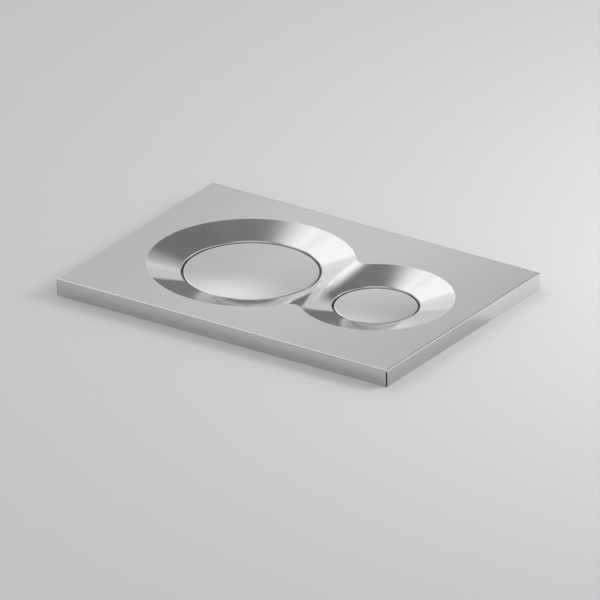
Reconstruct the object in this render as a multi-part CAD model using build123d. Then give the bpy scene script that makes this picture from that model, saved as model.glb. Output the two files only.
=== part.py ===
from build123d import *
from dataclasses import dataclass
from math import atan, cos, sqrt
import os

# Face plate, one folded sheet (millimetres; X along the plate, Y up the wall, Z out of the wall)
PLATE_LENGTH = 240.0
PLATE_HEIGHT = 170.0
PLATE_DEPTH = 11.0
SHEET = 0.8
BEND_RADIUS = 1.0
CORNER_SLIT = 0.9

# Conical dishes pressed into the face round the buttons
EDGE_Z = 5.5
DISH_RUN = 21.5
RIDGE_RADIUS = 32.0
RIM_RADIUS = 1.5
LIP_DEPTH = 2.0
LIP_ROUND = 1.0

# Buttons: where their holes are, and the caps in them
FULL_X = -34.5
FULL_HOLE_RADIUS = 42.65
HALF_X = 56.2
HALF_HOLE_RADIUS = 26.6
BUTTON_GAP = 1.0
CAP_SHEET = 0.6
CAP_SINK = 0.3
CAP_CROWN = 0.5
CAP_EDGE_RADIUS = 0.8
CAP_FIT = 0.05

# Rockers under the caps, hinged near the two ends of the plate
AXLE_INSET = 11.0
AXLE_RADIUS = 1.5
RUNNING_CLEARANCE = 0.06
BARREL_WALL = 1.24
ROCKER_LAP = 2.3
ROCKER_FLANGE = 1.4
ROCKER_WALL = 1.3
ROCKER_RING = 6.0
ROCKER_RIB = 1.6
STOP_GAP = 0.1
ARM_DEPTH = 3.2
ARM_KNEE = 0.5
FULL_ARM_Y = 23.5
HALF_ARM_Y = 15.0
ARM_WIDTH = 6.5
TIE_FROM_AXLE = 8.0
TIE_WIDTH = 3.0
TIE_DEPTH = 1.6

# Rubber pads that the push rods of the cistern meet
FULL_PAD_OFFSET = 24.0
HALF_PAD_OFFSET = 11.0
PAD_RADIUS = 8.0
PAD_THICKNESS = 1.4
PAD_STEM_RADIUS = 2.4
PAD_STEM_LENGTH = 1.4
PAD_FIT = 0.1

# Leaf springs that lift the rockers, and their screws
SPRING_SHEET = 0.5
SPRING_WIDTH = 8.0
SPRING_Y = 7.0
SPRING_RISE = 0.8
SPRING_REACH = 3.0
SPRING_DIP = 1.1
SPRING_BEND_RADIUS = 2.0
SPRING_BOSS_DEPTH = 4.4
SCREW_RADIUS = 1.1
SCREW_LENGTH = 4.5
SCREW_HEAD_RADIUS = 2.1
SCREW_HEAD_HEIGHT = 1.0
SCREW_FIT = 0.05

# Moulded carrier behind the sheet
CARRIER_CLEARANCE = 0.4
CARRIER_WALL = 1.8
CARRIER_WEB = 1.6
CARRIER_FOOT_GAP = 0.6
CARRIER_BEAD = 1.6
CARRIER_BEAD_WIDTH = 1.8
OPENING_CLEARANCE = 0.6
LUG_WALL = 1.5
LUG_WIDTH = 4.0
LUG_GAP = 0.5

# Studs welded to the sheet, and the push-on nuts that hold the carrier
STUD_RADIUS = 1.5
STUD_LENGTH = 4.0
STUD_INSET_X = 20.0
STUD_INSET_Y = 14.0
STUD_CLEARANCE = 0.3
NUT_RADIUS = 4.0
NUT_SHEET = 0.6
NUT_FIT = 0.05
NUT_SLITS = 6
NUT_SLIT_WIDTH = 0.5
NUT_SLIT_RADIUS = 2.7

# Moulded frame that is screwed to the wall
FRAME_INSET = 9.0
FRAME_CORNER_RADIUS = 6.0
FRAME_FLOOR = 1.6
FRAME_DEPTH = 4.8
FRAME_RIM = 1.5
FRAME_BAR_WIDTH = 12.0
FRAME_STRAP_WIDTH = 12.0
FRAME_STRAP = 1.2
FRAME_RIB_HEIGHT = 1.6
SLOT_INSET = 12.0
SLOT_LENGTH = 12.0
SLOT_RADIUS = 2.6

# Spring-steel clips between carrier and frame
CLIP_X = 68.0
CLIP_SHEET = 0.5
CLIP_WIDTH = 10.0
CLIP_FOOT = 8.0
CLIP_GAP = 1.4
CLIP_BEND_RADIUS = 0.8
CLIP_TIP_Z = 0.9
DETENT_Z = 3.0
DETENT_BITE = 0.6
DETENT_RISE = 1.7
DETENT_ROOM = 1.0
WINDOW_HALF_HEIGHT = 1.05
STAKE_RADIUS = 1.2
STAKE_HEAD_RADIUS = 2.2
STAKE_HEAD = 0.7
STAKE_FIT = 0.1
LANDING_MIDDLE_X = 30.0
LANDING_GAP = 0.05
RIB_WIDTH = 1.6

# Levels and lengths that follow from the sizes above
OVERRUN = 5.0
MATCH = 0.01
FOOT = (Align.CENTER, Align.CENTER, Align.MIN)
SLOPE = (PLATE_DEPTH - EDGE_Z) / DISH_RUN
SHEET_DROP = SHEET / cos(atan(SLOPE))
LIP_Z = EDGE_Z - LIP_DEPTH
BACK_Z = PLATE_DEPTH - SHEET
WEB_Z = BACK_Z - CARRIER_WEB
CAP_Z = EDGE_Z - CAP_SINK
FLANGE_TOP = LIP_Z - STOP_GAP
FLANGE_BOTTOM = FLANGE_TOP - ROCKER_FLANGE
BOSS_TOP = CAP_Z - CAP_SHEET - CAP_FIT
POCKET_TOP = BOSS_TOP - ROCKER_WALL
AXLE_X = PLATE_LENGTH / 2 - AXLE_INSET
AXLE_Z = (FRAME_STRAP + WEB_Z) / 2
SPRING_FOOT_Z = FLANGE_BOTTOM + SPRING_RISE
RIDGE_X = (FULL_X + FULL_HOLE_RADIUS + HALF_X - HALF_HOLE_RADIUS) / 2
BORE_RADIUS = AXLE_RADIUS + RUNNING_CLEARANCE
CARRIER_LENGTH = PLATE_LENGTH - 2 * (SHEET + CARRIER_CLEARANCE)
CARRIER_HEIGHT = PLATE_HEIGHT - 2 * (SHEET + CARRIER_CLEARANCE)
FRAME_LENGTH = PLATE_LENGTH - 2 * FRAME_INSET
FRAME_HEIGHT = PLATE_HEIGHT - 2 * FRAME_INSET
BAR_Y = (FRAME_HEIGHT - FRAME_BAR_WIDTH) / 2
SLOT_X = FRAME_LENGTH / 2 - SLOT_INSET
STUD_X = PLATE_LENGTH / 2 - STUD_INSET_X
STUD_Y = PLATE_HEIGHT / 2 - STUD_INSET_Y
LANDING_X = (LANDING_MIDDLE_X, (CLIP_X + STUD_X) / 2)


@dataclass(frozen=True)
class Button:
    """One button; side is -1 where its hinge is at the left end of the plate and 1 at the right."""

    name: str
    x: float
    hole_radius: float
    side: int
    arm_y: float
    pad_offset: float

    @property
    def rim_radius(self):
        return self.hole_radius + DISH_RUN

    @property
    def cap_radius(self):
        return self.hole_radius - BUTTON_GAP

    @property
    def flange_radius(self):
        return self.hole_radius + ROCKER_LAP

    @property
    def reach(self):
        return AXLE_X - self.side * self.x


FULL = Button("full_flush", FULL_X, FULL_HOLE_RADIUS, -1, FULL_ARM_Y, FULL_PAD_OFFSET)
HALF = Button("half_flush", HALF_X, HALF_HOLE_RADIUS, 1, HALF_ARM_Y, HALF_PAD_OFFSET)
BUTTONS = (FULL, HALF)


def upright(profile, width):
    """Extrudes a profile drawn in x and z by width along Y, half to each side of y = 0."""
    return extrude(Plane.XZ * profile, width / 2, both=True)


def along_y(radius, length):
    """A round bar along Y, centred on the origin."""
    return Rot(90, 0, 0) * Cylinder(radius, length)


def disc(radius, low, high):
    """A round disc about Z between two levels."""
    return Pos(0, 0, low) * Cylinder(radius, high - low, align=FOOT)


def block(length, width, low, high):
    """A block centred on Z between two levels."""
    return Pos(0, 0, low) * Box(length, width, high - low, align=FOOT)


def at_hinge(shape, button):
    """Takes a shape from the hinge's frame, axle along Y at x = 0 and button towards +X, to its end of the plate."""
    turned = mirror(shape, about=Plane.YZ) if button.side > 0 else shape
    return Pos(button.side * AXLE_X, 0, 0) * turned


def dishes(drop, ridge_radius):
    """Both dishes as one cutting body, lowered by drop, with the ridge where they run together rounded."""
    low = EDGE_Z - drop
    height = PLATE_DEPTH + OVERRUN - low
    cones = []
    for button in BUTTONS:
        cone = Cone(button.hole_radius, button.hole_radius + height / SLOPE, height, align=FOOT)
        seam_turn = 90 - 90 * button.side
        cones.append(Pos(button.x, 0, low) * Rot(0, 0, seam_turn) * cone)
    both = cones[0] + cones[1]
    ridge = [edge for edge in both.edges() if edge.geom_type not in (GeomType.CIRCLE, GeomType.LINE)]
    return fillet(ridge, ridge_radius)


def corner_slits():
    """Thin cuts where two folded edges meet at each corner."""
    cut = block(4 * BEND_RADIUS, CORNER_SLIT, -OVERRUN, PLATE_DEPTH - BEND_RADIUS)
    slits = []
    for x_side in (-1, 1):
        for y_side in (-1, 1):
            corner = Pos(x_side * PLATE_LENGTH / 2, y_side * PLATE_HEIGHT / 2, 0)
            slits.append(corner * Rot(0, 0, 45 * x_side * y_side) * cut)
    return slits


def face_plate():
    """The folded sheet with its two dishes, the holes with their turned-down lips and the open corners."""
    outside = block(PLATE_LENGTH, PLATE_HEIGHT, 0, PLATE_DEPTH)
    outside = fillet(outside.faces().sort_by(Axis.Z)[-1].edges(), BEND_RADIUS)
    inside = block(PLATE_LENGTH - 2 * SHEET, PLATE_HEIGHT - 2 * SHEET, 0, BACK_Z)
    inside = fillet(inside.faces().sort_by(Axis.Z)[-1].edges(), BEND_RADIUS - SHEET)
    front = dishes(0, RIDGE_RADIUS)
    plate = (outside - front) - (inside - dishes(SHEET_DROP, RIDGE_RADIUS - SHEET))
    for button in BUTTONS:
        lip = disc(button.hole_radius + SHEET, LIP_Z, EDGE_Z + SHEET)
        plate += Pos(button.x, 0, 0) * lip - front
    for button in BUTTONS:
        plate -= Pos(button.x, 0, 0) * disc(button.hole_radius, -OVERRUN, PLATE_DEPTH + OVERRUN)
    rim = plate.faces().filter_by(GeomType.PLANE).sort_by(Axis.Z)[-1].inner_wires()[0].edges()
    plate = fillet(rim, RIM_RADIUS)
    lips = []
    for edge in plate.edges().filter_by(GeomType.CIRCLE):
        at_hole = any(abs(edge.radius - button.hole_radius) < MATCH for button in BUTTONS)
        if at_hole and abs(edge.center().Z - EDGE_Z) < MATCH:
            lips.append(edge)
    return fillet(lips, LIP_ROUND) - corner_slits()


def cap(button):
    """A drawn steel cup: gently crowned top, rounded edge and a short skirt that stands on the rocker."""
    radius = button.cap_radius
    inner = radius - CAP_SHEET
    edge = radius - CAP_EDGE_RADIUS
    turn_z = CAP_Z - CAP_EDGE_RADIUS
    slant = CAP_EDGE_RADIUS * sqrt(0.5)
    inner_slant = (CAP_EDGE_RADIUS - CAP_SHEET) * sqrt(0.5)
    under = CAP_Z - CAP_SHEET
    dome_radius = (edge**2 + CAP_CROWN**2) / (2 * CAP_CROWN)
    half_way = sqrt(dome_radius**2 - edge**2 / 4) - dome_radius + CAP_CROWN
    outline = [
        ThreePointArc((0, CAP_Z + CAP_CROWN), (edge / 2, CAP_Z + half_way), (edge, CAP_Z)),
        ThreePointArc((edge, CAP_Z), (edge + slant, turn_z + slant), (radius, turn_z)),
        Polyline((radius, turn_z), (radius, FLANGE_TOP), (inner, FLANGE_TOP), (inner, turn_z)),
        ThreePointArc((inner, turn_z), (edge + inner_slant, turn_z + inner_slant), (edge, under)),
        ThreePointArc((edge, under), (edge / 2, under + half_way), (0, under + CAP_CROWN)),
        Line((0, under + CAP_CROWN), (0, CAP_Z + CAP_CROWN)),
    ]
    return Pos(button.x, 0, 0) * revolve(Plane.XZ * make_face(outline), Axis.Z)


def rocker_disc(button):
    """The part of the rocker under its cap: a boss inside the cap and a flange that stops under the lip."""
    flange = button.flange_radius
    boss = button.cap_radius - CAP_SHEET - CAP_FIT
    pocket = flange - ROCKER_RING
    bevel = CAP_EDGE_RADIUS / 2
    half_section = Polyline(
        (0, POCKET_TOP),
        (pocket, POCKET_TOP),
        (pocket, FLANGE_BOTTOM),
        (flange, FLANGE_BOTTOM),
        (flange, FLANGE_TOP),
        (boss, FLANGE_TOP),
        (boss, BOSS_TOP - bevel),
        (boss - bevel, BOSS_TOP),
        (0, BOSS_TOP),
        close=True,
    )
    shell = revolve(Plane.XZ * make_face(half_section), Axis.Z)
    ribs = block(2 * flange, ROCKER_RIB, FLANGE_BOTTOM, POCKET_TOP)
    for y in (-button.arm_y, button.arm_y):
        ribs += Pos(0, y, 0) * block(2 * flange, ROCKER_RIB, FLANGE_BOTTOM, POCKET_TOP)
    for x in (-button.pad_offset, 0, button.pad_offset):
        ribs += Pos(x, 0, 0) * block(ROCKER_RIB, 2 * flange, FLANGE_BOTTOM, POCKET_TOP)
    socket = Pos(button.pad_offset, 0, 0) * disc(PAD_RADIUS, FLANGE_BOTTOM, POCKET_TOP)
    inside = disc(pocket + ROCKER_RIB / 2, FLANGE_BOTTOM, POCKET_TOP)
    stem_hole = disc(PAD_STEM_RADIUS + PAD_FIT, 0, FLANGE_BOTTOM + PAD_STEM_LENGTH + PAD_FIT)
    return shell + (ribs & inside) + (socket & inside) - Pos(button.pad_offset, 0, 0) * stem_hole


def rocker(button):
    """The moulded lever: the disc under the cap and two arms that run below the dish to the hinge barrels."""
    inner_y = button.arm_y - ARM_WIDTH / 2
    knee = button.reach - sqrt((button.flange_radius + ARM_KNEE) ** 2 - inner_y**2)
    end = knee + ROCKER_RING / 2
    arm_outline = Polyline(
        (0, AXLE_Z - ARM_DEPTH / 2),
        (0, AXLE_Z + ARM_DEPTH / 2),
        (knee, FLANGE_TOP),
        (end, FLANGE_TOP),
        (end, FLANGE_BOTTOM),
        (knee, FLANGE_BOTTOM),
        close=True,
    )
    arm = upright(make_face(arm_outline), ARM_WIDTH)
    barrel = Pos(0, 0, AXLE_Z) * along_y(BORE_RADIUS + BARREL_WALL, ARM_WIDTH)
    tie_x = TIE_FROM_AXLE + TIE_WIDTH / 2
    lever = Pos(tie_x, 0, 0) * block(TIE_WIDTH, 2 * button.arm_y, AXLE_Z - TIE_DEPTH, AXLE_Z)
    lever += Pos(button.reach, 0, 0) * rocker_disc(button)
    for y in (-button.arm_y, button.arm_y):
        lever += Pos(0, y, 0) * (arm + barrel)
    lever -= Pos(0, 0, AXLE_Z) * along_y(BORE_RADIUS, 4 * button.arm_y)
    return at_hinge(lever, button)


def push_pad(button):
    """A rubber disc with a stem that plugs into the back of the rocker."""
    pad = disc(PAD_RADIUS, FLANGE_BOTTOM - PAD_THICKNESS, FLANGE_BOTTOM)
    pad = fillet(pad.edges().sort_by(Axis.Z)[0], PAD_THICKNESS / 2)
    pad += disc(PAD_STEM_RADIUS, FLANGE_BOTTOM, FLANGE_BOTTOM + PAD_STEM_LENGTH)
    return at_hinge(Pos(button.reach + button.pad_offset, 0, 0) * pad, button)


def lug_y(button):
    """The middle of a hinge lug, just outside the rocker's barrel."""
    return button.arm_y + ARM_WIDTH / 2 + LUG_GAP + LUG_WIDTH / 2


def axle(button):
    """The hinge pin, from the outer face of one lug to that of the other, with chamfered ends."""
    pin = along_y(AXLE_RADIUS, 2 * lug_y(button) + LUG_WIDTH)
    pin = chamfer(pin.edges().filter_by(GeomType.CIRCLE), AXLE_RADIUS / 4)
    return at_hinge(Pos(0, 0, AXLE_Z) * pin, button)


def spring_boss_end():
    """How far behind the axle the carrier's wall begins, which the spring bosses run into."""
    return PLATE_LENGTH / 2 - SHEET - CARRIER_CLEARANCE - CARRIER_WALL - AXLE_X


def spring_screw_x():
    """The spring screws stand in the middle of their boss, in the hinge's frame."""
    return SPRING_BOSS_DEPTH / 2 - spring_boss_end()


def leaf_spring(button, y):
    """A bent strip: a foot under its boss, then a long leaf that dips and turns up under the rocker's flange."""
    foot_z = SPRING_FOOT_Z - SPRING_SHEET / 2
    tip_z = FLANGE_BOTTOM - SPRING_SHEET / 2 - STOP_GAP
    start = SCREW_FIT - spring_boss_end()
    bend = start + SPRING_BOSS_DEPTH
    tip = button.reach - sqrt(button.flange_radius**2 - SPRING_Y**2) + SPRING_REACH
    dip = (tip - SPRING_REACH, foot_z - SPRING_DIP)
    path = FilletPolyline((start, foot_z), (bend, foot_z), dip, (tip, tip_z), radius=SPRING_BEND_RADIUS)
    strip = upright(trace(path, SPRING_SHEET), SPRING_WIDTH)
    strip -= Pos(spring_screw_x(), 0, 0) * disc(SCREW_RADIUS + SCREW_FIT, 0, PLATE_DEPTH)
    return at_hinge(Pos(0, y, 0) * strip, button)


def spring_screws():
    """The four pan-head screws that hold the leaf springs, heads towards the wall."""
    head_top = SPRING_FOOT_Z - SPRING_SHEET
    head = disc(SCREW_HEAD_RADIUS, head_top - SCREW_HEAD_HEIGHT, head_top)
    head = fillet(head.edges().sort_by(Axis.Z)[0], SCREW_HEAD_HEIGHT / 2)
    screw = head + disc(SCREW_RADIUS, head_top, head_top + SCREW_LENGTH)
    screws = []
    for button in BUTTONS:
        for y in (-SPRING_Y, SPRING_Y):
            screws.append(at_hinge(Pos(spring_screw_x(), y, 0) * screw, button))
    return Compound(children=screws)


def stud_places():
    """The six studs: one near each corner and one above and below the ridge."""
    return [Pos(x, y, 0) for x in (-STUD_X, RIDGE_X, STUD_X) for y in (-STUD_Y, STUD_Y)]


def weld_studs():
    """Plain studs that stand on the back of the sheet."""
    stud = disc(STUD_RADIUS, BACK_Z - STUD_LENGTH, BACK_Z)
    stud = chamfer(stud.edges().sort_by(Axis.Z)[0], STUD_RADIUS / 4)
    return Compound(children=[place * stud for place in stud_places()])


def push_nuts():
    """Slit spring washers that bite on the studs below the carrier's web."""
    nut = disc(NUT_RADIUS, WEB_Z - NUT_SHEET, WEB_Z)
    slit = Pos(NUT_SLIT_RADIUS / 2, 0, 0) * block(NUT_SLIT_RADIUS, NUT_SLIT_WIDTH, 0, PLATE_DEPTH)
    for turn in range(NUT_SLITS):
        nut -= Rot(0, 0, turn * 360 / NUT_SLITS) * slit
    nut -= disc(STUD_RADIUS + NUT_FIT, 0, PLATE_DEPTH)
    return Compound(children=[place * nut for place in stud_places()])


def hinge_parts(button):
    """The two lugs that hold one axle, and the boss that its leaf springs are screwed to."""
    lug_radius = AXLE_RADIUS + LUG_WALL
    lug = Pos(0, 0, AXLE_Z) * along_y(lug_radius, LUG_WIDTH)
    lug += block(2 * lug_radius, LUG_WIDTH, AXLE_Z, WEB_Z)
    parts = Pos(0, lug_y(button), 0) * lug + Pos(0, -lug_y(button), 0) * lug
    parts -= Pos(0, 0, AXLE_Z) * along_y(AXLE_RADIUS + SCREW_FIT, 3 * lug_y(button))
    length = SPRING_BOSS_DEPTH + CARRIER_WALL
    middle = SPRING_BOSS_DEPTH - length / 2 - spring_boss_end()
    boss = Pos(middle, 0, 0) * block(length, 2 * SPRING_Y + SPRING_WIDTH, SPRING_FOOT_Z, WEB_Z)
    for y in (-SPRING_Y, SPRING_Y):
        boss -= Pos(spring_screw_x(), y, 0) * disc(SCREW_RADIUS + SCREW_FIT, 0, WEB_Z)
    return at_hinge(parts + boss, button)


def opening_discs(margin, low, high):
    """The figure of eight that clears both dishes, wider than their rims by margin."""
    discs = [Pos(b.x, 0, 0) * disc(b.rim_radius + margin, low, high) for b in BUTTONS]
    return discs[0] + discs[1]


def clip_places():
    """Where the four clips are, each with the turn that points its foot to the middle of the plate."""
    places = {}
    for row, turn in (("top", 0), ("bottom", 180)):
        for column, x in (("left", -CLIP_X), ("right", CLIP_X)):
            places[f"{row}_{column}"] = Pos(x, 0, 0) * Rot(0, 0, turn)
    return places


def stake_y():
    """The middle of a clip's foot."""
    return FRAME_HEIGHT / 2 + CLIP_GAP - CLIP_FOOT * 2 / 3


def carrier_frame():
    """The moulded tray behind the sheet: rim wall, web, bead round the dishes, ribs, hinge lugs and clip stakes."""
    tray = block(CARRIER_LENGTH, CARRIER_HEIGHT, CARRIER_FOOT_GAP, BACK_Z)
    inner_length = CARRIER_LENGTH - 2 * CARRIER_WALL
    inner_height = CARRIER_HEIGHT - 2 * CARRIER_WALL
    tray -= block(inner_length, inner_height, 0, WEB_Z)
    bead_z = WEB_Z - CARRIER_BEAD
    tray += opening_discs(OPENING_CLEARANCE + CARRIER_BEAD_WIDTH, bead_z, WEB_Z)
    for button in BUTTONS:
        tray += hinge_parts(button)
    rib = block(RIB_WIDTH, inner_height, bead_z, WEB_Z)
    landing = block(RIB_WIDTH, FRAME_BAR_WIDTH, FRAME_DEPTH + LANDING_GAP, WEB_Z)
    rib += Pos(0, BAR_Y, 0) * landing + Pos(0, -BAR_Y, 0) * landing
    for x in LANDING_X:
        tray += Pos(x, 0, 0) * rib + Pos(-x, 0, 0) * rib
    stake_head_z = WEB_Z - CLIP_SHEET - LANDING_GAP
    stake = disc(STAKE_RADIUS, stake_head_z, WEB_Z)
    stake += disc(STAKE_HEAD_RADIUS, stake_head_z - STAKE_HEAD, stake_head_z)
    for place in clip_places().values():
        tray += place * Pos(0, stake_y(), 0) * stake
    for place in stud_places():
        tray -= place * disc(STUD_RADIUS + STUD_CLEARANCE, 0, PLATE_DEPTH)
    tray -= opening_discs(OPENING_CLEARANCE, bead_z, PLATE_DEPTH)
    return tray - dishes(SHEET_DROP + CARRIER_CLEARANCE, RIDGE_RADIUS - SHEET)


def snap_clip(place):
    """A bent steel strip: a foot staked to the carrier, and a leg whose detent springs into the frame's window."""
    foot_z = WEB_Z - CLIP_SHEET / 2
    leg_y = FRAME_HEIGHT / 2 + CLIP_GAP
    detent_y = FRAME_HEIGHT / 2 - DETENT_BITE
    path = FilletPolyline(
        (leg_y - CLIP_FOOT, foot_z),
        (leg_y, foot_z),
        (leg_y, DETENT_Z + DETENT_RISE),
        (detent_y, DETENT_Z),
        (leg_y - CLIP_GAP / 2, CLIP_TIP_Z + CLIP_GAP / 2),
        (leg_y + CLIP_GAP / 2, CLIP_TIP_Z),
        radius=CLIP_BEND_RADIUS,
    )
    strip = extrude(Plane.YZ * trace(path, CLIP_SHEET), CLIP_WIDTH / 2, both=True)
    strip -= Pos(0, stake_y(), 0) * disc(STAKE_RADIUS + STAKE_FIT, WEB_Z - CLIP_FOOT / 2, WEB_Z)
    return place * strip


def frame_bar():
    """One long bar of the mounting frame: a floor with a rim all round, cross ribs and two clip windows."""
    bar = block(FRAME_LENGTH, FRAME_BAR_WIDTH, 0, FRAME_DEPTH)
    corners = bar.edges().filter_by(Axis.Z).group_by(Axis.Y)[-1]
    bar = fillet(corners, FRAME_CORNER_RADIUS)
    hollow = block(FRAME_LENGTH - 2 * FRAME_RIM, FRAME_BAR_WIDTH - 2 * FRAME_RIM, FRAME_FLOOR, FRAME_DEPTH)
    corners = hollow.edges().filter_by(Axis.Z).group_by(Axis.Y)[-1]
    bar -= fillet(corners, FRAME_CORNER_RADIUS - FRAME_RIM)
    rib = block(RIB_WIDTH, FRAME_BAR_WIDTH - FRAME_RIM, FRAME_FLOOR, FRAME_FLOOR + FRAME_RIB_HEIGHT)
    window = block(
        CLIP_WIDTH + 2 * DETENT_ROOM,
        FRAME_BAR_WIDTH,
        DETENT_Z - WINDOW_HALF_HEIGHT,
        DETENT_Z + WINDOW_HALF_HEIGHT,
    )
    for x_side in (-1, 1):
        for x in (0, *LANDING_X):
            bar += Pos(x_side * x, 0, 0) * rib
        bar -= Pos(x_side * CLIP_X, FRAME_BAR_WIDTH / 2, 0) * window
    return Pos(0, BAR_Y, 0) * bar


def mounting_frame():
    """The frame on the wall: two long bars, two thin straps that pass below the hinges, four slotted holes."""
    bar = frame_bar()
    frame = bar + Rot(0, 0, 180) * bar
    strap = block(FRAME_STRAP_WIDTH, 2 * BAR_Y, 0, FRAME_STRAP)
    strap_x = (FRAME_LENGTH - FRAME_STRAP_WIDTH) / 2
    slot = extrude(SlotOverall(SLOT_LENGTH, 2 * SLOT_RADIUS), FRAME_DEPTH)
    for x_side in (-1, 1):
        frame += Pos(x_side * strap_x, 0, 0) * strap
        for y_side in (-1, 1):
            frame -= Pos(x_side * SLOT_X, y_side * BAR_Y, 0) * slot
    return frame


def build():
    """Every piece by its node name."""
    parts = {
        "face_plate": face_plate(),
        "carrier_frame": carrier_frame(),
        "mounting_frame": mounting_frame(),
        "weld_studs": weld_studs(),
        "push_nuts": push_nuts(),
        "spring_screws": spring_screws(),
    }
    for name, place in clip_places().items():
        parts[f"snap_clip_{name}"] = snap_clip(place)
    for button in BUTTONS:
        parts[f"{button.name}_cap"] = cap(button)
        parts[f"{button.name}_rocker"] = rocker(button)
        parts[f"{button.name}_push_pad"] = push_pad(button)
        parts[f"{button.name}_axle"] = axle(button)
        parts[f"{button.name}_spring_upper"] = leaf_spring(button, SPRING_Y)
        parts[f"{button.name}_spring_lower"] = leaf_spring(button, -SPRING_Y)
    return parts


os.makedirs("parts", exist_ok=True)
for node, shape in build().items():
    export_step(shape, f"parts/{node}.step")
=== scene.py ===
from math import cos, pi, radians, sin

import bmesh
import bpy
from mathutils import Matrix, Vector


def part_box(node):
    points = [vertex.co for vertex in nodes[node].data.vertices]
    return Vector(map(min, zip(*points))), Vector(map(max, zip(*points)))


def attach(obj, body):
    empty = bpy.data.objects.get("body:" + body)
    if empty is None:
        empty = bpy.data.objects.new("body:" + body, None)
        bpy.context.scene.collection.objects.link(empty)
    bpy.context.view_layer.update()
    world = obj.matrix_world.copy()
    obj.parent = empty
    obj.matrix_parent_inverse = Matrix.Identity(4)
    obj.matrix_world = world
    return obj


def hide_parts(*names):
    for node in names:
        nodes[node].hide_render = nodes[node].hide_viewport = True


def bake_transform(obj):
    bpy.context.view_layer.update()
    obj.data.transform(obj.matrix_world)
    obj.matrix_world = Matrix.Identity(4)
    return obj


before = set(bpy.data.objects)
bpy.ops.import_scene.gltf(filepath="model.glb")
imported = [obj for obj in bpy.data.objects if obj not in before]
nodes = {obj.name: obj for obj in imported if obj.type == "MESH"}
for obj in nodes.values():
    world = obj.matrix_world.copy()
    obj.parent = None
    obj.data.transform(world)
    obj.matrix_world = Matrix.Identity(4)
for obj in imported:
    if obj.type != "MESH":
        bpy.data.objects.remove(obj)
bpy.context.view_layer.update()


# Face plate
# One sheet of stainless steel, 0.8 mm thick, with the two dishes pressed in and all four sides folded back.
# It is polished along its length to a fine satin before it is folded, and hangs on studs welded to its back.

STROKE_STRENGTH = 0.08
STROKE_DEPTH_MM = 0.02
CLOUD_MM = 60.0
CLOUD_SHARE = 0.25
FAINTEST_GRAIN = 0.3
STRONGEST_GRAIN = 0.95
ROUGHNESS_SPREAD = 0.2


def linear(code):
    """An sRGB hex colour as the linear red, green, blue and alpha that a shader takes."""
    parts = [int(code[i:i + 2], 16) / 255 for i in (0, 2, 4)]
    return [c / 12.92 if c <= 0.04045 else ((c + 0.055) / 1.055) ** 2.4 for c in parts] + [1.0]


def add(material, kind, settings=None, **inputs):
    """Adds one node to a material or world.

    An input is a value for its socket, or the output socket that feeds it; _0 is the first socket by place.
    """
    made = material.node_tree.nodes.new(kind)
    for name, value in (settings or {}).items():
        setattr(made, name, value)
    for name, value in inputs.items():
        socket = made.inputs[int(name[1:])] if name[1:].isdigit() else made.inputs[name.replace("_", " ")]
        if isinstance(value, bpy.types.NodeSocket):
            material.node_tree.links.new(value, socket)
        else:
            socket.default_value = value
    return made


def new_material(name):
    """An empty node material and the output that its shader goes to."""
    material = bpy.data.materials.new(name)
    material.use_nodes = True
    material.node_tree.nodes.clear()
    return material, add(material, "ShaderNodeOutputMaterial")


def dress(material, slot, *names):
    """Gives CAD nodes a material, in place of the plain one that they come with."""
    for name in names:
        nodes[name].data.materials.clear()
        nodes[name].data.materials.append(material)


def satin_steel(name, colour, roughness, grit_mm, stroke_mm):
    """Worked steel: fine strokes along X that soften the reflections a little across them, and faint clouds.

    Real strokes are a few hundredths of a millimetre wide. They are drawn coarser, so that they show.
    """
    material, output = new_material(name)
    place = add(material, "ShaderNodeTexCoord").outputs["Object"]
    strokes = add(material, "ShaderNodeMapping", Vector=place,
                  Scale=(1000 / stroke_mm, 1000 / grit_mm, 1000 / grit_mm)).outputs[0]
    grain = add(material, "ShaderNodeTexNoise", Vector=strokes, Scale=1.0, Detail=3.0, Roughness=0.6)
    cloud = add(material, "ShaderNodeTexNoise", Vector=place, Scale=1000 / CLOUD_MM, Detail=2.0)
    mixed = add(material, "ShaderNodeMath", {"operation": "MULTIPLY_ADD"},
                _0=cloud.outputs[0], _1=CLOUD_SHARE, _2=grain.outputs[0])
    rough = add(material, "ShaderNodeMapRange", Value=mixed.outputs[0],
                From_Min=FAINTEST_GRAIN, From_Max=STRONGEST_GRAIN,
                To_Min=roughness * (1 - ROUGHNESS_SPREAD), To_Max=roughness * (1 + ROUGHNESS_SPREAD))
    bump = add(material, "ShaderNodeBump", Height=grain.outputs[0], Strength=STROKE_STRENGTH,
               Distance=STROKE_DEPTH_MM / 1000)
    shader = add(material, "ShaderNodeBsdfPrincipled", Base_Color=linear(colour), Metallic=1.0,
                 Roughness=rough.outputs[0], Normal=bump.outputs[0])
    material.node_tree.links.new(shader.outputs[0], output.inputs[0])
    return material


# A fine satin mirrors the room almost as polished steel does, but softly and with no sharp picture in it.
plate_steel = satin_steel("Satin stainless steel", "d1d1d1", roughness=0.075, grit_mm=0.25, stroke_mm=14.0)
dress(plate_steel, "stainless_sheet", "face_plate")


# Button caps
# Two shallow cups drawn from thinner stainless sheet and pressed over the rockers, polished like the plate.
# Both crowns have one dome radius, so the small cup is turned here with a lower crown than its solid has.

CUP_SHEET = 0.0006
CUP_EDGE = 0.0008
LARGE_CROWN = 0.0005
DOME_STEPS = 14
EDGE_STEPS = 6
CUP_SEGMENTS = 160
MERGE = 1e-6
CREASE = radians(35)


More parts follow.
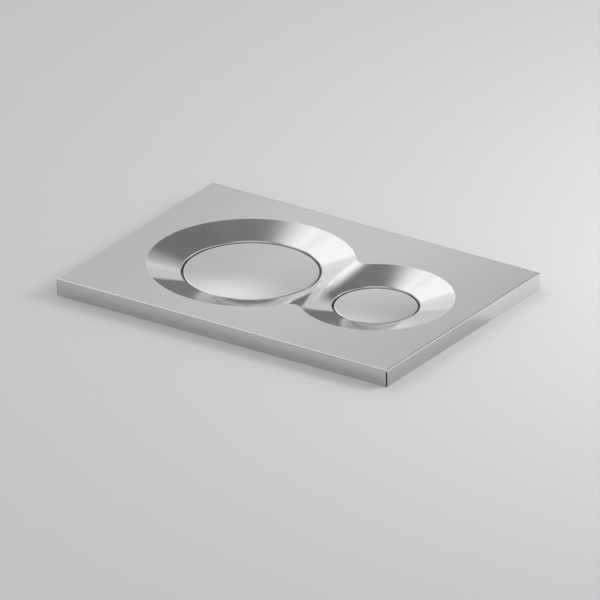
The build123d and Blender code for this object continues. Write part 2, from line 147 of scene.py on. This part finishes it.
def finish_piece(name, shape, material):
    """Makes an object of a finished shape, smooth but for its creases, and gives it its material.

    Normals that came along with a copied CAD mesh are dropped, because they don't fit its new cuts.
    """
    mesh = bpy.data.meshes.new(name)
    shape.to_mesh(mesh)
    shape.free()
    copied_normals = mesh.attributes.get("custom_normal")
    if copied_normals is not None:
        mesh.attributes.remove(copied_normals)
    mesh.shade_smooth()
    mesh.set_sharp_from_angle(angle=CREASE)
    mesh.materials.append(material)
    piece = bpy.data.objects.new(name, mesh)
    bpy.context.collection.objects.link(piece)
    return piece


def turned(shape, outline, centre, segments):
    """Spins an outline of radius and height round an upright axis, closed where it meets the axis."""
    points = [shape.verts.new((centre.x + radius, centre.y, z)) for radius, z in outline]
    lines = [shape.edges.new(pair) for pair in zip(points, points[1:])]
    bmesh.ops.spin(shape, geom=points + lines, cent=centre, axis=(0, 0, 1), angle=2 * pi,
                   steps=segments, use_merge=True)
    bmesh.ops.remove_doubles(shape, verts=shape.verts, dist=MERGE)


# The plate's satin, with shorter strokes because each cup is polished by itself, and a shade darker: painted
# shade that makes the cups mirror the room a little darker than the face.
cap_steel = satin_steel("Satin stainless cups", "cacaca", roughness=0.075, grit_mm=0.22, stroke_mm=10.0)
dress(cap_steel, "stainless_sheet", "full_flush_cap")

large_low, large_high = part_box("full_flush_cap")
cup_low, cup_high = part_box("half_flush_cap")
cup_radius = (cup_high.x - cup_low.x) / 2
dome_radius = cup_radius - CUP_EDGE
large_dome_radius = (large_high.x - large_low.x) / 2 - CUP_EDGE
crown = LARGE_CROWN * (dome_radius / large_dome_radius) ** 2
edge_z = cup_high.z - LARGE_CROWN
turn_z = edge_z - CUP_EDGE
inner_z = edge_z - CUP_SHEET
inner_edge = CUP_EDGE - CUP_SHEET
shares = [sin(pi / 2 * step / DOME_STEPS) for step in range(DOME_STEPS + 1)]
angles = [pi / 2 * step / EDGE_STEPS for step in range(EDGE_STEPS + 1)]


def dome(share):
    """How far the crown stands above its edge, at a share of the dome's radius."""
    return crown * (1 - share**2)


outline = [(dome_radius * share, edge_z + dome(share)) for share in shares]
outline += [(dome_radius + CUP_EDGE * sin(a), turn_z + CUP_EDGE * cos(a)) for a in angles[1:]]
outline += [(cup_radius, cup_low.z), (cup_radius - CUP_SHEET, cup_low.z)]
outline += [(dome_radius + inner_edge * sin(a), turn_z + inner_edge * cos(a)) for a in reversed(angles)]
outline += [(dome_radius * share, inner_z + dome(share)) for share in reversed(shares[:-1])]
cup = bmesh.new()
turned(cup, outline, Vector(((cup_low.x + cup_high.x) / 2, 0, 0)), CUP_SEGMENTS)
bmesh.ops.recalc_face_normals(cup, faces=cup.faces)
small_cup = finish_piece("half_flush_cup", cup, cap_steel)
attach(small_cup, "half_flush_button")
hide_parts("half_flush_cap")


# Carrier
# A tray moulded in dark grey ABS, with the lugs for the axles and the bosses for the springs.
# It lies behind the sheet, held on the sheet's studs, and has a fine spark-eroded grain from its mould.

FLOW_MM = 45.0
DARKEST_FLOW = 0.92
PALEST_FLOW = 1.06
GRAIN_LOW = 0.3
GRAIN_HIGH = 0.7
GRAIN_SPREAD = 0.06
GRAIN_STRENGTH = 0.4


def moulded(name, colour, roughness, grain_mm, depth_mm):
    """Moulded plastic or rubber: its colour drifts a little as the melt flowed, over the mould's fine grain.

    Real mould grain is about a tenth of a millimetre wide. It is drawn coarser, so that it shows.
    """
    material, output = new_material(name)
    place = add(material, "ShaderNodeTexCoord").outputs["Object"]
    grain = add(material, "ShaderNodeTexNoise", Vector=place, Scale=1000 / grain_mm, Detail=2.0)
    flow = add(material, "ShaderNodeTexNoise", Vector=place, Scale=1000 / FLOW_MM, Detail=1.0)
    tone = add(material, "ShaderNodeMapRange", Value=flow.outputs[0], To_Min=DARKEST_FLOW, To_Max=PALEST_FLOW)
    shade = add(material, "ShaderNodeVectorMath", {"operation": "SCALE"}, _0=linear(colour)[:3],
                Scale=tone.outputs[0])
    rough = add(material, "ShaderNodeMapRange", Value=grain.outputs[0], From_Min=GRAIN_LOW,
                From_Max=GRAIN_HIGH, To_Min=roughness - GRAIN_SPREAD, To_Max=roughness + GRAIN_SPREAD)
    bump = add(material, "ShaderNodeBump", Height=grain.outputs[0], Strength=GRAIN_STRENGTH,
               Distance=depth_mm / 1000)
    shader = add(material, "ShaderNodeBsdfPrincipled", Base_Color=shade.outputs[0],
                 Roughness=rough.outputs[0], Normal=bump.outputs[0])
    material.node_tree.links.new(shader.outputs[0], output.inputs[0])
    return material


# Grained ABS looks dull, because the grain breaks up its highlights.
carrier_abs = moulded("Grained dark ABS", "55585b", roughness=0.5, grain_mm=0.5, depth_mm=0.03)
dress(carrier_abs, "carrier_plastic", "carrier_frame")


# Rockers
# Two levers moulded in black acetal: a disc under each cap, and two arms that run below the dish.
# Their mould is polished, so that the barrels at the ends of the arms slip on the axles.

# Acetal from a polished mould has soft broad highlights and hardly any grain.
acetal = moulded("Black acetal", "2b2c2e", roughness=0.34, grain_mm=0.9, depth_mm=0.01)
dress(acetal, "rocker_plastic", "full_flush_rocker", "half_flush_rocker")


# Push pads
# Two discs of moulded black rubber where the push rods of the cistern meet the rockers.
# Each has a stem that plugs into the back of its rocker.

# Rubber is matt, with almost no highlight.
rubber = moulded("Black rubber", "242424", roughness=0.75, grain_mm=0.7, depth_mm=0.04)
dress(rubber, "pad_rubber", "full_flush_push_pad", "half_flush_push_pad")


# Axles
# Two pins of ground steel, one near each end of the plate, that the rockers turn on.
# Each is held at both ends in the carrier's lugs.

# Grinding leaves short fine marks across a pin, which spread its highlight.
ground = satin_steel("Ground steel", "bfbfbd", roughness=0.24, grit_mm=0.15, stroke_mm=0.8)
dress(ground, "ground_steel", "full_flush_axle", "half_flush_axle")


# Studs and their nuts
# Six zinc-plated studs welded to the back of the sheet, which reach through the carrier.
# Slit washers of spring steel, pushed onto them from behind, bite on the studs and hold the carrier.

# Zinc plate is pale and soft in its highlights; rolled strip is darker, with long lines from the rolls.
plated = satin_steel("Zinc-plated steel", "c4c5c2", roughness=0.3, grit_mm=0.4, stroke_mm=0.9)
spring_steel = satin_steel("Rolled spring steel", "a3a6aa", roughness=0.26, grit_mm=0.3, stroke_mm=6.0)
dress(plated, "plated_steel", "weld_studs")
dress(spring_steel, "spring_steel", "push_nuts")


# Leaf springs
# Four strips of hardened steel, screwed to the carrier at the foot and bent up under the rocker's flange.
# Each is cut across every two millimetres here.

LEAF_STEP = 0.002


def bending_leaf(button, row):
    """One leaf spring: a copy of its CAD node, cut across along its length, which takes the node's place."""
    node = f"{button}_spring_{row}"
    low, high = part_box(node)
    strip = bmesh.new()
    strip.from_mesh(nodes[node].data)
    bmesh.ops.remove_doubles(strip, verts=strip.verts, dist=MERGE)
    steps = int((high.x - low.x) / LEAF_STEP)
    for step in range(1, steps):
        cut = low.lerp(high, step / steps)
        everything = strip.verts[:] + strip.edges[:] + strip.faces[:]
        bmesh.ops.bisect_plane(strip, geom=everything, dist=MERGE, plane_co=cut, plane_no=(1, 0, 0))
    leaf = finish_piece(f"{button}_leaf_{row}", strip, spring_steel)
    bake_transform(leaf)
    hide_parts(node)


for button in ("full_flush", "half_flush"):
    for row in ("upper", "lower"):
        bending_leaf(button, row)


# Spring screws
# Four small pan-head screws of zinc-plated steel, driven from behind through the feet of the springs.
# Their heads have a cross recess, and their threads are out of sight in the carrier's bosses.

HEAD_RADIUS = 0.0021
HEAD_HEIGHT = 0.001
HEAD_ROUND = 0.0005
HEAD_ROUND_STEPS = 4
HEAD_SEGMENTS = 24
SHANK_RADIUS = 0.0011
RECESS_HALF_LENGTH = 0.0012
RECESS_DEPTH = 0.0006
RECESS_TAPER = 0.55
RECESS_TURN = radians(22)

screws_low, screws_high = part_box("spring_screws")
screws = bmesh.new()
bmesh.ops.create_grid(screws, x_segments=3, y_segments=3, size=RECESS_HALF_LENGTH)
recess_rim = [edge for edge in screws.edges if edge.is_boundary]
arms = []
for face in screws.faces:
    if min(abs(c) for c in face.calc_center_median().xy) < RECESS_HALF_LENGTH / 3:
        arms.append(face)
sunk = bmesh.ops.extrude_face_region(screws, geom=arms)["geom"]
sunk = [part for part in sunk if isinstance(part, bmesh.types.BMVert)]
bmesh.ops.delete(screws, geom=[face for face in arms if face.is_valid], context="FACES")
bmesh.ops.scale(screws, verts=sunk, vec=(RECESS_TAPER, RECESS_TAPER, 1))
bmesh.ops.translate(screws, verts=sunk, vec=(0, 0, RECESS_DEPTH))
bmesh.ops.rotate(screws, verts=screws.verts, matrix=Matrix.Rotation(RECESS_TURN, 3, "Z"))

head_flat = HEAD_RADIUS - HEAD_ROUND
outline = [(head_flat, 0)]
for step in range(1, HEAD_ROUND_STEPS + 1):
    angle = pi / 2 * step / HEAD_ROUND_STEPS
    outline.append((head_flat + HEAD_ROUND * sin(angle), HEAD_ROUND * (1 - cos(angle))))
shank_tip = screws_high.z - screws_low.z
outline += [(HEAD_RADIUS, HEAD_HEIGHT), (SHANK_RADIUS, HEAD_HEIGHT)]
outline += [(SHANK_RADIUS, shank_tip), (0, shank_tip)]
turned(screws, outline, Vector((0, 0, 0)), HEAD_SEGMENTS)
head_rim = [edge for edge in screws.edges if edge.is_boundary and edge not in recess_rim]
bmesh.ops.bridge_loops(screws, edges=recess_rim + head_rim)
first_screw = Vector((screws_high.x - HEAD_RADIUS, screws_high.y - HEAD_RADIUS, screws_low.z))
bmesh.ops.translate(screws, verts=screws.verts, vec=first_screw)
for axis in ("X", "Y"):
    everything = screws.verts[:] + screws.edges[:] + screws.faces[:]
    bmesh.ops.mirror(screws, geom=everything, axis=axis, merge_dist=0)
bmesh.ops.recalc_face_normals(screws, faces=screws.faces)
recessed_screws = finish_piece("recessed_screws", screws, plated)
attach(recessed_screws, "plate")
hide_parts("spring_screws")


# Mounting frame and its clips
# A frame moulded in light grey polypropylene, screwed to the wall through its four slots.
# Four clips bent from spring-steel strip and staked to the carrier snap into its windows and hold the plate.

# Polypropylene has a soft, slightly waxy sheen.
frame_plastic = moulded("Light grey polypropylene", "c3c5c6", roughness=0.45, grain_mm=0.8, depth_mm=0.02)
dress(frame_plastic, "frame_plastic", "mounting_frame")
dress(spring_steel, "spring_steel", "snap_clip_top_left", "snap_clip_top_right",
      "snap_clip_bottom_left", "snap_clip_bottom_right")


# Floor
# A plain sheet of pale matt paper that the part lies on, not a piece of the object.
# It is so wide that its edge stays out of the picture.

FLOOR_RADIUS = 4.0
FLOOR_SEGMENTS = 96
FLOOR_ROUGHNESS = 0.9

floor_mesh = bpy.data.meshes.new("floor")
sheet = bmesh.new()
bmesh.ops.create_circle(sheet, cap_ends=True, segments=FLOOR_SEGMENTS, radius=FLOOR_RADIUS)
sheet.to_mesh(floor_mesh)
sheet.free()
floor = bpy.data.objects.new("floor", floor_mesh)
bpy.context.collection.objects.link(floor)
pale, pale_output = new_material("Pale matt paper")
pale_shader = add(pale, "ShaderNodeBsdfPrincipled", Base_Color=linear("e2e2e2"), Roughness=FLOOR_ROUGHNESS)
pale.node_tree.links.new(pale_shader.outputs[0], pale_output.inputs[0])
floor_mesh.materials.append(pale)


# Camera
# A view from in front, a little to the right and above, through a lens so long that it is almost parallel.
# The scale and the pixel where the part's origin falls belong to a picture of 600 by 600 pixels.

VIEW_AZIMUTH = radians(33.54)
VIEW_ELEVATION = radians(24.78)
PIXELS_PER_MM = 1.646
IMAGE_SIDE = 600
ORIGIN_PIXEL = (298.66, 292.04)
LENS_MM = 1500.0

back = Vector((sin(VIEW_AZIMUTH) * cos(VIEW_ELEVATION),
               -cos(VIEW_AZIMUTH) * cos(VIEW_ELEVATION), sin(VIEW_ELEVATION)))
turn = back.to_track_quat("Z", "Y")
pixel = 0.001 / PIXELS_PER_MM
right_of_origin = (IMAGE_SIDE / 2 - ORIGIN_PIXEL[0]) * pixel
above_origin = (ORIGIN_PIXEL[1] - IMAGE_SIDE / 2) * pixel
middle = turn @ Vector((right_of_origin, above_origin, 0))
camera_data = bpy.data.cameras.new("camera")
camera_data.lens = LENS_MM
camera_distance = LENS_MM / camera_data.sensor_width * IMAGE_SIDE * pixel
camera_data.clip_end = 2 * camera_distance
camera = bpy.data.objects.new("camera", camera_data)
camera.rotation_mode = "QUATERNION"
camera.rotation_quaternion = turn
camera.location = middle + back * camera_distance
bpy.context.collection.objects.link(camera)
bpy.context.scene.camera = camera


# Light
# A dim studio with soft panels round the part, drawn in the world by direction. The flat face mirrors the
# strip behind, the dishes the tall panel behind left, and the folded sides the floor, which a lamp lights.
# Two pieces of lit cloth are near enough that their reflections fade along the face and along the right side.

ROOM_LEVEL = 0.24
# No direction gets brighter than this, so that steel which mirrors a panel doesn't clip to white.
BRIGHTEST = 1.4
# Each panel's azimuths, then its elevations, in degrees: where it begins, is full, starts to fade and ends.
# The last number is its radiance, which is added to the room's and to that of the panels that it overlaps.
PANELS = {
    "strip behind": ((88, 110, 185, 200), (12.4, 12.9, 22, 32.5), 0.545),
    "left of the strip": ((125, 129, 185, 200), (12.4, 12.9, 20, 26), 0.2),
    "wall under the strip": ((125, 126, 185, 200), (0, 1, 12.4, 12.9), 0.53),
    "tall panel behind left": ((112, 134, 165, 190), (25, 33, 37, 54), 1.35),
    "top of the tall panel": ((128, 134, 165, 190), (41, 45, 48, 54), 0.45),
    "foot of the tall panel": ((124, 132, 165, 190), (20, 27, 27.1, 33), 0.6),
    "small lamp behind": ((122.9, 123.8, 127, 129), (25.3, 26.7, 28.5, 31), 0.5),
    "high panel at the left": ((160, 166, 212, 218), (40, 48, 64, 68), 1.0),
    "front fill": ((190, 215, 361, 362), (3, 12, 45, 60), 0.36),
    "right fill": ((-2, -1, 74, 84), (3, 12, 45, 60), 0.45),
    "low fill behind": ((74, 84, 92, 101), (3, 12, 28, 35), 0.45),
    "low panel at the right": ((47, 50, 66, 70), (3, 5, 33, 36), 0.5),
    "high panel in front": ((248, 252, 348, 352), (60, 64, 70, 78), 1.0),
    "ceiling": ((-2, -1, 361, 362), (68, 78, 91, 92), 0.45),
}

world = bpy.data.worlds.new("studio")
world.use_nodes = True
world.node_tree.nodes.clear()
bpy.context.scene.world = world
# The arctangent of the inward direction, plus half a turn, counts azimuth from 0 to a full turn.
outwards = add(world, "ShaderNodeTexCoord").outputs["Generated"]
inwards = add(world, "ShaderNodeVectorMath", {"operation": "SCALE"}, _0=outwards, Scale=-1.0)
inwards = add(world, "ShaderNodeSeparateXYZ", Vector=inwards.outputs[0]).outputs
azimuth = add(world, "ShaderNodeMath", {"operation": "ARCTAN2"}, _0=inwards["Y"], _1=inwards["X"])
azimuth = add(world, "ShaderNodeMath", {"operation": "ADD"}, _0=azimuth.outputs[0], _1=pi)
depression = add(world, "ShaderNodeMath", {"operation": "ARCSINE"}, _0=inwards["Z"])
elevation = add(world, "ShaderNodeMath", {"operation": "MULTIPLY"}, _0=depression.outputs[0], _1=-1.0)


def with_panel(room, azimuths, elevations, radiance):
    """The room's light with one more panel in it; azimuth is counted from +X towards +Y."""
    share = radiance
    for angle, (begins, full, fades, ends) in ((azimuth, azimuths), (elevation, elevations)):
        for dark, bright in ((begins, full), (ends, fades)):
            ramp = add(world, "ShaderNodeMapRange", Value=angle.outputs[0], From_Min=radians(dark),
                       From_Max=radians(bright))
            product = add(world, "ShaderNodeMath", {"operation": "MULTIPLY"}, _0=ramp.outputs[0], _1=share)
            share = product.outputs[0]
    return add(world, "ShaderNodeMath", {"operation": "ADD"}, _0=share, _1=room).outputs[0]


room = ROOM_LEVEL
for azimuths, elevations, radiance in PANELS.values():
    room = with_panel(room, azimuths, elevations, radiance)
room = add(world, "ShaderNodeMath", {"operation": "MINIMUM"}, _0=room, _1=BRIGHTEST).outputs[0]
glow = add(world, "ShaderNodeBackground", Color=room)
add(world, "ShaderNodeOutputWorld", Surface=glow.outputs[0])


def lit_cloth(name, place, width, length, edge, radiance):
    """A level oval of lit cloth near the part, seen only in its reflections and added to what lies behind it.

    The edge is the share of its half width over which its glow fades out.
    """
    sheet = bmesh.new()
    bmesh.ops.create_grid(sheet, x_segments=1, y_segments=1, size=0.5)
    bmesh.ops.scale(sheet, verts=sheet.verts, vec=(width, length, 1))
    bmesh.ops.translate(sheet, verts=sheet.verts, vec=place)
    mesh = bpy.data.meshes.new(name)
    sheet.to_mesh(mesh)
    sheet.free()
    cloth, output = new_material(name)
    spot = add(cloth, "ShaderNodeTexCoord").outputs["Object"]
    spot = add(cloth, "ShaderNodeVectorMath", {"operation": "SUBTRACT"}, _0=spot, _1=place)
    spot = add(cloth, "ShaderNodeVectorMath", {"operation": "DIVIDE"}, _0=spot.outputs[0],
               _1=(width / 2, length / 2, 1))
    spot = add(cloth, "ShaderNodeTexGradient", {"gradient_type": "SPHERICAL"}, Vector=spot.outputs[0])
    fade = add(cloth, "ShaderNodeMapRange", {"interpolation_type": "SMOOTHSTEP"}, Value=spot.outputs["Fac"],
               From_Max=edge, To_Max=radiance)
    glow = add(cloth, "ShaderNodeEmission", Strength=fade.outputs[0])
    clear = add(cloth, "ShaderNodeBsdfTransparent")
    both = add(cloth, "ShaderNodeAddShader", _0=glow.outputs[0], _1=clear.outputs[0])
    cloth.node_tree.links.new(both.outputs[0], output.inputs[0])
    mesh.materials.append(cloth)
    panel = bpy.data.objects.new(name, mesh)
    bpy.context.collection.objects.link(panel)
    panel.visible_camera = False
    panel.visible_diffuse = False
    panel.visible_shadow = False


lit_cloth("cloth_behind", Vector((-0.59, 1.02, 0.5)), width=0.28, length=0.7, edge=0.75, radiance=0.145)
lit_cloth("cloth_beside", Vector((0.125, 0.087, 0.0003)), width=0.08, length=0.13, edge=0.25, radiance=0.22)

LAMP_PLACE = Vector((0.45, 0.4, 0.42))
LAMP_SIZE = 0.24
LAMP_WATTS = 2.0

lamp_light = bpy.data.lights.new("lamp", "AREA")
lamp_light.size = LAMP_SIZE
lamp_light.energy = LAMP_WATTS
lamp = bpy.data.objects.new("lamp", lamp_light)
lamp.location = LAMP_PLACE
lamp.rotation_mode = "QUATERNION"
lamp.rotation_quaternion = LAMP_PLACE.to_track_quat("Z", "Y")
lamp.visible_camera = False
lamp.visible_glossy = False
bpy.context.collection.objects.link(lamp)
bpy.context.scene.view_settings.view_transform = "Standard"
